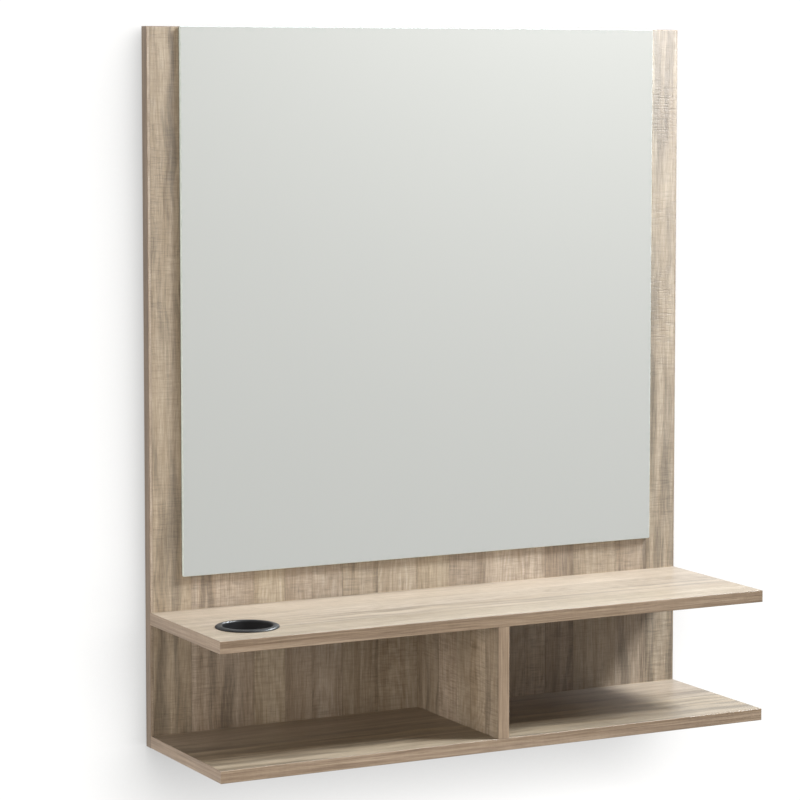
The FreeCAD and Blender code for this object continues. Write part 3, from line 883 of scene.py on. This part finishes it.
# %% Glue beads
BEAD_RINGS = 150
BEAD_AROUND = 28
BEAD_FILL = 0.86
ROUND_END = 12.0 * MM
# each wave of the width: its size as a share of the half width, its length over 2 pi, its turn
WAVES = [(0.06, 21.0 * MM, 1.0), (0.05, 8.3 * MM, 2.3), (0.03, 4.7 * MM, 4.1)]
SIDE_POWER = 0.8
SHOULDER_POWER = 0.35


def squared(wave, power):
    """A sine or cosine with squarer shoulders: its sign times its size to a power below one."""
    return np.sign(wave) * np.abs(wave) ** power


def glue_bead(lowest, highest, seed):
    """Rings of one squeezed bead that fills a box: its width is a share of the box plus the waves
    size * sin(z / wave + seed * turn), narrowed by a square root near both ends."""
    length = highest[2] - lowest[2]
    up = np.linspace(0.0, length, BEAD_RINGS)[:, None]
    angle = np.linspace(0.0, 2 * math.pi, BEAD_AROUND, endpoint=False)[None, :]
    waves = sum(size * np.sin(up / wave + seed * turn) for size, wave, turn in WAVES)
    ends = np.sqrt(np.clip(np.minimum(up, length - up) / ROUND_END, 0.02, 1.0))
    middle, half = (lowest + highest) / 2, (highest - lowest) / 2
    x = middle[0] + half[0] * (BEAD_FILL + waves) * ends * squared(np.cos(angle), SIDE_POWER)
    y = middle[1] + half[1] * squared(np.sin(angle), SHOULDER_POWER) + 0.0 * up
    z = lowest[2] + up + 0.0 * angle
    return np.stack([x, y, z], axis=-1)


def mirror_glue():
    """Cured neutral silicone: milky grey, glossy, with trapped bubbles."""
    material, tree, shader, where = new_material("mirror_glue")
    milk = noise(tree, where, scale=300.0)
    cells = add(tree, "ShaderNodeTexVoronoi", {"Vector": where, "Scale": 900.0})
    bubble = Field(tree, cells.outputs["Distance"]).step(0.22, 0.10)
    colour = ramp(tree, milk, [(0.3, (0.50, 0.50, 0.47)), (0.7, (0.66, 0.66, 0.63))])
    colour = blend(tree, bubble * 0.4, colour, (0.36, 0.36, 0.34, 1.0))
    feed_all(tree, shader, {"Base Color": colour, "Roughness": milk * 0.25 + 0.20})
    bump(tree, shader, milk - bubble, 0.0002, 0.6)
    return material


beads = [glue_bead(*box, seed) for seed, box in enumerate(islands("mirror_glue_beads", X), 1)]
stand_in_for(dress(mesh_from_rings("squeezed_glue_beads", beads), mirror_glue()),
             "station", "mirror_glue", "mirror_glue_beads")


# %% Foam tape and the mirror's paint
def foam_tape():
    """White polyethylene foam: closed cells that show as a fine pebble."""
    material, tree, shader, where = new_material("foam_tape")
    cells = add(tree, "ShaderNodeTexVoronoi", {"Vector": where, "Scale": 2200.0})
    pit = Field(tree, cells.outputs["Distance"])
    dust = noise(tree, where, 3.0, 0.6, scale=60.0)
    colour = blend(tree, dust, (0.80, 0.79, 0.76, 1.0), (0.68, 0.67, 0.63, 1.0))
    colour = blend(tree, pit * 0.5, colour, (0.55, 0.54, 0.51, 1.0))
    feed_all(tree, shader, {"Base Color": colour, "Roughness": dust * 0.15 + 0.75})
    bump(tree, shader, pit * -1.0, 0.0002, 0.8)
    return material


def silver_paint():
    """Grey protective paint over the silver, curtain-coated: nearly flat, with faint long waves."""
    material, tree, shader, where = new_material("silver_paint")
    x, y, z = split(tree, where)
    curtain = noise(tree, vector(tree, x * 14.0, y, z * 160.0), 2.0, 0.5)
    speck = noise(tree, where, scale=900.0).step(0.66, 0.74)
    colour = ramp(tree, curtain, [(0.3, (0.125, 0.140, 0.138)), (0.7, (0.160, 0.176, 0.172))])
    colour = blend(tree, speck * 0.4, colour, (0.30, 0.31, 0.30, 1.0))
    feed_all(tree, shader, {"Base Color": colour, "Roughness": curtain * 0.15 + 0.38})
    bump(tree, shader, curtain + speck * 0.3, 0.0001, 0.4)
    return material


NODES["mirror_tapes"].material_slots[0].material = foam_tape()
NODES["mirror_silvering"].material_slots[0].material = silver_paint()
print("tape and paint on the back of the mirror")

# %% [markdown]
# ## Hanging hardware
# The two rails are extruded aluminium. The die leaves fine straight lines along the whole rail,
# so their material is stretched along X some hundreds of times. The lower end of the panel
# stands off the wall on two rubber discs; a disc is one closed outline swept round a circle,
# with a rounded rim, a well for the screw and three moulded grooves on its wall side.

# %% Rails
def extruded_aluminium():
    """Mill-finish aluminium: die lines along the rail, soft stains and a few scratches."""
    material, tree, shader, where = new_material("mill_aluminium")
    x, y, z = split(tree, where)
    line = noise(tree, vector(tree, x * 4.0, y * 1500.0, z * 1500.0), 3.0, 0.65)
    stain = noise(tree, vector(tree, x * 18.0, y * 60.0, z * 60.0), 2.0, 0.5)
    scratch = noise(tree, vector(tree, x * 160.0, y * 30.0, z * 420.0), 1.0).step(0.71, 0.75)
    colour = ramp(tree, stain * 0.5 + line * 0.5, [
        (0.3, (0.66, 0.67, 0.68)),
        (0.7, (0.80, 0.81, 0.82)),
    ])
    feed_all(tree, shader, {
        "Base Color": blend(tree, scratch * 0.5, colour, (0.9, 0.9, 0.9, 1.0)),
        "Metallic": 1.0,
        "Roughness": line * 0.20 + stain * 0.10 + 0.22,
    })
    bump(tree, shader, line - scratch, 0.00004, 0.5)
    return material


ALUMINIUM = extruded_aluminium()
for name in ("wall_rail", "panel_rail"):
    NODES[name].material_slots[0].material = ALUMINIUM


# %% Spacers
def spacer():
    """Closed rings of a rubber disc: rim, panel side, screw hole and grooved wall side. The rim's
    edge is a quarter circle, with its point at (11.5 + sin turn, 1 - cos turn) millimetres."""
    quarter = np.linspace(0, math.pi / 2, 7)
    rim = [(11.5 + math.sin(turn), 1.0 - math.cos(turn)) for turn in quarter]
    panel_side = [(12.5, 5.6), (12.35, 5.88), (12.1, 6.0), (2.05, 6.0)]
    well = [(2.05, 3.85), (3.9, 1.75), (4.0, 1.6), (4.0, 0.2), (4.2, 0.0)]
    grooves = []
    for radius in (6.2, 8.2, 10.2):
        grooves += [(radius - 0.6, 0.0), (radius - 0.35, 0.3)]
        grooves += [(radius + 0.35, 0.3), (radius + 0.6, 0.0)]
    return rings(rim + panel_side + well + grooves)


def rubber():
    """Black rubber with a dusty bloom and a moulded grain."""
    material, tree, shader, where = new_material("rubber")
    bloom = noise(tree, where, 3.0, 0.6, scale=90.0).step(0.4, 0.75)
    grain = noise(tree, where, scale=1800.0)
    colour = blend(tree, bloom * 0.6, (0.020, 0.020, 0.021, 1.0), (0.060, 0.058, 0.055, 1.0))
    feed_all(tree, shader, {"Base Color": colour, "Roughness": bloom * 0.15 + 0.62})
    bump(tree, shader, grain, 0.00008, 0.6)
    return material


DISC_SHELLS = driven(spacer(), islands("wall_spacers", X), INTO_ROOM)
discs = mesh_from_rings("grooved_spacers", DISC_SHELLS, loop=True)
stand_in_for(dress(discs, rubber()), "station", "black_rubber", "wall_spacers")

# %% [markdown]
# ## The stage
# The station hangs on a pale wall above a pale floor. Wall and floor take no light from the
# lamps: all their light is a glow of their own, and their shade is painted into that glow where
# the station comes near: an ambient occlusion node counts how much of the light from one side is
# hidden close by. Both are clear from behind, so that the back of the station can be seen.

# %% Wall and floor
def stage_material(name, glow, shade, reach, facing):
    """Pale backdrop that gives off its own light, clear from behind, with painted shade: it loses
    up to shade of its glow where the object hides the light of the facing direction within reach."""
    material, tree, shader, where = new_material(name)
    output = shader.outputs[0].links[0].to_node
    tree.nodes.remove(shader)
    roller = noise(tree, where, scale=120.0)
    toward = vector(tree, *facing)
    near = add(tree, "ShaderNodeAmbientOcclusion", {"Distance": reach, "Normal": toward},
               samples=24)
    # painted shade: the glow drops where the station is near, standing in for cast shadows
    light = (Field(tree, near.outputs["AO"]) - 1.0) * shade + glow + roller * 0.004
    # the emission named paint gives off the glow with its painted shade
    paint = add(tree, "ShaderNodeEmission", {"Color": (1.0, 0.995, 0.985, 1.0), "Strength": light})
    clear = tree.nodes.new("ShaderNodeBsdfTransparent")
    behind = tree.nodes.new("ShaderNodeNewGeometry").outputs["Backfacing"]
    mix = add(tree, "ShaderNodeMixShader", {0: behind, 1: paint.outputs[0], 2: clear.outputs[0]})
    tree.links.new(mix.outputs[0], output.inputs["Surface"])
    return material


def stage_plane(name, corners, material):
    """Flat four-sided piece of the stage, which gives the station no diffuse light and blocks no
    lamp.
    """
    mesh = bpy.data.meshes.new(name)
    mesh.from_pydata(corners, [], [(0, 1, 2, 3)])
    mesh.materials.append(material)
    plane = new_object(name, mesh)
    plane.visible_diffuse = False
    plane.visible_shadow = False
    return plane


WALL_Y = 0.5 * MM
STATION_ABOVE_FLOOR = 0.70
FLOOR_Z = PANEL_LOW[2] - STATION_ABOVE_FLOOR
REACH = 14.0
# painted shadows: left of and under the station on the wall, under it on the floor
WALL_GLOW_AND_SHADE = stage_material(
    "wall_glow_painted_shade", glow=1.07, shade=0.90, reach=0.17, facing=(0.42, -0.42, 0.80))
FLOOR_GLOW_AND_SHADE = stage_material(
    "floor_glow_painted_shade", glow=0.90, shade=0.30, reach=0.30, facing=(0.0, 0.0, 1.0))
stage_plane("wall", [
    (-REACH, WALL_Y, FLOOR_Z), (REACH, WALL_Y, FLOOR_Z),
    (REACH, WALL_Y, REACH), (-REACH, WALL_Y, REACH),
], WALL_GLOW_AND_SHADE)
floor = stage_plane("floor", [
    (-REACH, -REACH, FLOOR_Z), (REACH, -REACH, FLOOR_Z),
    (REACH, WALL_Y, FLOOR_Z), (-REACH, WALL_Y, FLOOR_Z),
], FLOOR_GLOW_AND_SHADE)
floor.visible_glossy = False
print("floor at", round(FLOOR_Z, 3))

# %% [markdown]
# ## Light
# The key light is a softbox up on the right, so that the tops of the shelves are the brightest
# boards and the space under the upper shelf falls into shade from right to left. A second one
# low on the left fills the ends of the boards. A third only puts a sheen on the panel's upper
# right: it is linked to the panel alone and gives no diffuse light, so nothing else shows it.
# The sky adds an even warm light, and it is also what the mirror shows: a grey with a slow glow
# above its upper right corner.


# %% The sky
SKY_GREY = 0.52
GLOW_PEAK = 1.366
GLOW_FALL = 7.5
GLOW_RIGHT = 33.0
GLOW_UP = 10.0


def direction(right, up):
    """Unit vector into the room, turned right and up by angles in degrees."""
    right, up = math.radians(right), math.radians(up)
    return (math.sin(right) * math.cos(up), -math.cos(right) * math.cos(up), math.sin(up))


def backdrop(tree, colour, strength):
    """Sky of one colour, as the output of a Background node."""
    inputs = {"Color": (*colour, 1.0), "Strength": strength}
    return add(tree, "ShaderNodeBackground", inputs).outputs[0]


def sky():
    """World with three looks: even for lighting, pale for the camera, and for mirrors a grey plus
    a glow of peak * e ** (-angle / fall), where angle is measured from the glow's direction."""
    world = bpy.data.worlds.new("studio")
    bpy.context.scene.world = world
    world.use_nodes = True
    tree = world.node_tree
    tree.nodes.clear()
    where = tree.nodes.new("ShaderNodeTexCoord").outputs["Generated"]
    toward = add(tree, "ShaderNodeVectorMath", {0: where, 1: direction(GLOW_RIGHT, GLOW_UP)},
                 operation="DOT_PRODUCT")
    angle = Field(tree, toward.outputs["Value"]).maths("ARCCOSINE") * (180.0 / math.pi)
    glow = (angle / -GLOW_FALL).maths("EXPONENT") * GLOW_PEAK + SKY_GREY
    path = tree.nodes.new("ShaderNodeLightPath")
    look = backdrop(tree, (1.0, 0.925, 0.86), 0.39)
    mirrored = backdrop(tree, (1.0, 1.0, 0.965), glow)
    pale = backdrop(tree, (0.96, 0.96, 0.96), 1.0)
    for ray, other in (("Is Glossy Ray", mirrored), ("Is Camera Ray", pale)):
        choice = {0: path.outputs[ray], 1: look, 2: other}
        look = add(tree, "ShaderNodeMixShader", choice).outputs[0]
    add(tree, "ShaderNodeOutputWorld", {"Surface": look})


sky()


# %% Lamps
def softbox(name, place, aim, size, power, colour=(1.0, 1.0, 1.0)):
    """Square area lamp at a place, turned towards a point."""
    data = bpy.data.lights.new(name, "AREA")
    data.shape = "SQUARE"
    data.size = size
    data.energy = power
    data.color = colour
    lamp = new_object(name, data)
    lamp.location = place
    toward = Vector(np.array(aim, float) - np.array(place, float))
    lamp.rotation_euler = toward.to_track_quat("-Z", "Y").to_euler()
    return lamp


STATION_MIDDLE = (PANEL_LOW + PANEL_HIGH) / 2
softbox("key", (2.6, -1.3, 2.3), STATION_MIDDLE, size=0.9, power=345.0, colour=(0.94, 1.0, 1.05))
fill = softbox("left_fill", (-3.0, -1.6, -0.5), STATION_MIDDLE, size=1.6, power=58.0,
               colour=(1.0, 0.96, 0.90))
fill.visible_glossy = False
PANEL_RIGHT = (PANEL_HIGH[0], 0.0, 0.0)
sheen = softbox("sheen", (2.15, -2.0, 0.55), PANEL_RIGHT, size=0.80, power=145.0)
sheen.visible_diffuse = False
panel_only = bpy.data.collections.new("lit_by_sheen")
for name in ("back_panel", "panel_left_band", "panel_right_band", "panel_top_band"):
    panel_only.objects.link(NODES[name])
sheen.light_linking.receiver_collection = panel_only
print("lamps aimed at", STATION_MIDDLE.round(3))

# %% [markdown]
# ## Camera
# The station is seen from the left with a long lens, from just under the height of the
# mirror's top. A slight downward shift of the lens keeps the uprights nearly parallel. The
# camera's place is counted in metres from the lower left front corner of the panel, its turns
# are in degrees and its focal length is in millimetres.

# %% The camera
CAMERA_LEFT = 1.6700
CAMERA_OUT = 4.0115
CAMERA_UP = 0.9867
TURN_RIGHT = 27.40
TILT_DOWN = 4.74
FOCAL = 135.5
LENS_DROP = -0.10

lens = bpy.data.cameras.new("camera")
lens.lens = FOCAL
lens.sensor_width = 36.0
lens.shift_y = LENS_DROP
lens.clip_end = 100.0
camera = new_object("camera", lens)
camera.location = (
    PANEL_LOW[0] - CAMERA_LEFT, PANEL_FRONT - CAMERA_OUT, PANEL_LOW[2] + CAMERA_UP
)
camera.rotation_euler = (math.radians(90.0 - TILT_DOWN), 0.0, math.radians(-TURN_RIGHT))
bpy.context.scene.camera = camera
bpy.context.scene.view_settings.view_transform = "Standard"
print("camera at", tuple(round(value, 3) for value in camera.location))
